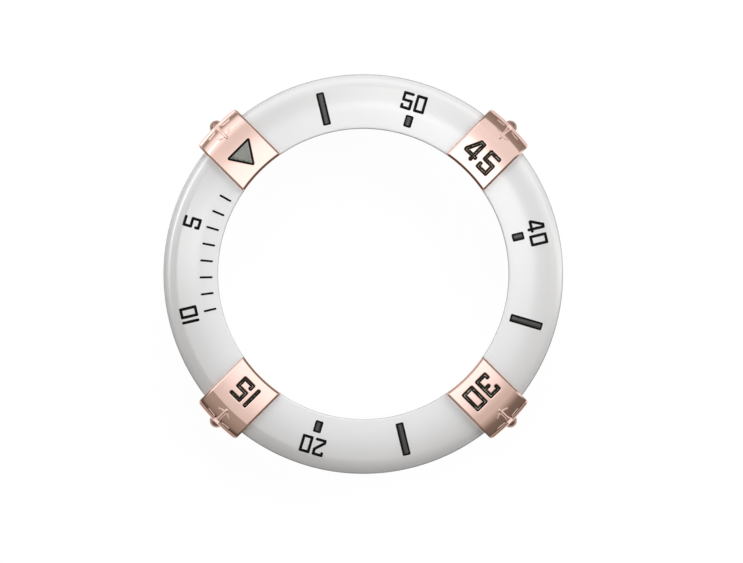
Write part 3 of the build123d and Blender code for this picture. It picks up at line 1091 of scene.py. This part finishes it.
studio = {
    "ambient": 0.1,  # what lights the dull surfaces besides the lamps
    "strength": 2.0,
    "warmth": (0.15, 0.35),  # how much green and blue a black wall lacks
    "wallPower": 2,  # how soon a wall ends sidewards
    "walls": {  # brightness by degrees from straight up, towards the four corners of the picture
        45: ((0, 1.5), (4, 1.9), (11, 1.85), (14, 1.0), (17, 0.9), (57, 0.92),
             (66, 0.9), (69, 0.36), (84, 0.28), (86, 0.2)),
        135: ((0, 1.45), (10, 1.35), (14, 0.95), (17, 0.82), (27, 0.86), (52, 1.15),
              (74, 1.15), (79, 0.8), (82, 0.3), (85.2, 0.3), (86, 1.2)),
        225: ((0, 1.4), (6, 1.28), (10, 1.1), (14, 0.9), (16, 0.82), (19, 0.8),
              (22, 0.42), (52, 0.4), (68, 0.36), (80, 0.3), (82.5, 0.14), (86, 0.04)),
        315: ((0, 1.4), (6, 1.3), (10, 1.12), (14, 0.88), (17, 0.66), (27, 0.58),
              (43, 0.48), (55, 0.36), (67, 0.21), (84, 0.17), (86, 0.06)),
    },
    "strips": {  # narrow panels between the corners, each with its own power
        2: (40, ((55, 0), (72, 0.8), (89, 0.8))),
        82: (14, ((9, 0), (12, 0.5), (22, 0.6), (30, 0))),
        160: (14, ((54, 0), (58, 1.4), (64, 1.4), (68, 0))),
        168: (20, ((9, 0), (12, 0.6), (20, 0.7), (25, 0))),
    },
}


def wallStops(stops, warm):
    # the darker a warm wall, the warmer it is
    strength = studio["strength"]
    lessGreen, lessBlue = studio["warmth"]
    found = []
    for degrees, level in stops:
        dark = max(1 - level, 0) if warm else 0
        color = (level, level * (1 - lessGreen * dark), level * (1 - lessBlue * dark))
        found.append((degrees / 180, tuple(part / strength for part in color)))
    return found


def makeStudio():
    world = bpy.data.worlds.new("studio")
    bpy.context.scene.world = world
    world.use_nodes = True
    world.node_tree.nodes.clear()
    tree = Tree(world.node_tree)
    way = tree.node("ShaderNodeTexCoord", output="Generated")
    up = tree.node("ShaderNodeSeparateXYZ", {}, {"Vector": way}, output="Z")
    zenith = tree.node("ShaderNodeMath", {"operation": "ARCCOSINE"}, {0: up}) / math.pi
    flat = tree.node("ShaderNodeVectorMath", {"operation": "MULTIPLY"}, {0: way, 1: (1, 1, 0)})
    level = tree.node("ShaderNodeVectorMath", {"operation": "NORMALIZE"}, {0: flat})
    panels = [(azimuth, studio["wallPower"], wallStops(stops, True))
              for azimuth, stops in studio["walls"].items()]
    panels += [(azimuth, power, wallStops(stops, False))
               for azimuth, (power, stops) in studio["strips"].items()]
    walls = None
    for azimuth, power, stops in panels:
        turn = math.radians(azimuth)
        facing = tree.node("ShaderNodeVectorMath", {"operation": "DOT_PRODUCT"},
                           {0: level, 1: (math.cos(turn), math.sin(turn), 0)}, output="Value")
        near = tree.node("ShaderNodeMath", {"operation": "MAXIMUM"}, {0: facing, 1: 0.0})
        wall = tree.node("ShaderNodeValToRGB", {"stops": stops}, {"Fac": zenith})
        share = tree.node("ShaderNodeVectorMath", {"operation": "SCALE"}, {
            0: wall, "Scale": tree.node("ShaderNodeMath", {"operation": "POWER"}, {0: near, 1: power}),
        })
        walls = share if walls is None else tree.node("ShaderNodeVectorMath", {"operation": "ADD"},
                                                      {0: walls, 1: share})
    strength = studio["strength"]
    glossy = tree.node("ShaderNodeLightPath", output="Is Glossy Ray")
    light = mixColor(tree, glossy, grey(studio["ambient"] / strength), walls)
    camera = tree.node("ShaderNodeLightPath", output="Is Camera Ray")
    shown = mixColor(tree, camera, light, grey(stage["backdrop"] / strength))
    background = tree.node("ShaderNodeBackground", {}, {"Color": shown, "Strength": strength})
    tree.node("ShaderNodeOutputWorld", {}, {"Surface": background})


lamps = {
    "right": {"azimuth": 18, "zenith": 72, "strength": 1.8, "angle": 40},
    "top": {"azimuth": 85, "zenith": 72, "strength": 1.8, "angle": 40},
    "left": {"azimuth": 180, "zenith": 58, "strength": 1.0, "angle": 50},
    "low": {"azimuth": 300, "zenith": 45, "strength": 0.42, "angle": 50},
}


def makeLamps():
    for name, lamp in lamps.items():
        data = bpy.data.lights.new(name, "SUN")
        data.energy = lamp["strength"]
        data.angle = math.radians(lamp["angle"])
        made = bpy.data.objects.new(name, data)
        turn = Matrix.Rotation(math.radians(lamp["azimuth"]), 4, "Z")
        tip = Matrix.Rotation(math.radians(lamp["zenith"]), 4, "Y")
        made.matrix_world = turn @ tip
        made.visible_glossy = False
        bpy.context.scene.collection.objects.link(made)


view = {
    "frameWidth": 70.95,  # what the picture's width covers at height 0
    "aimX": 0.78,
    "aimY": -0.71,
    "distance": 700,
    "sensor": 36,
    "clip": (10, 10000),
}


def makeCamera():
    data = bpy.data.cameras.new("camera")
    data.sensor_width = view["sensor"]
    data.lens = view["sensor"] * view["distance"] / view["frameWidth"]
    data.clip_start, data.clip_end = (reach * mm for reach in view["clip"])
    camera = bpy.data.objects.new("camera", data)
    camera.location = (view["aimX"] * mm, view["aimY"] * mm, view["distance"] * mm)
    bpy.context.scene.collection.objects.link(camera)
    bpy.context.scene.camera = camera


makeFloor()
makeStudio()
makeLamps()
makeCamera()
bpy.context.scene.view_settings.view_transform = "Standard"
print("stage, light and camera set")
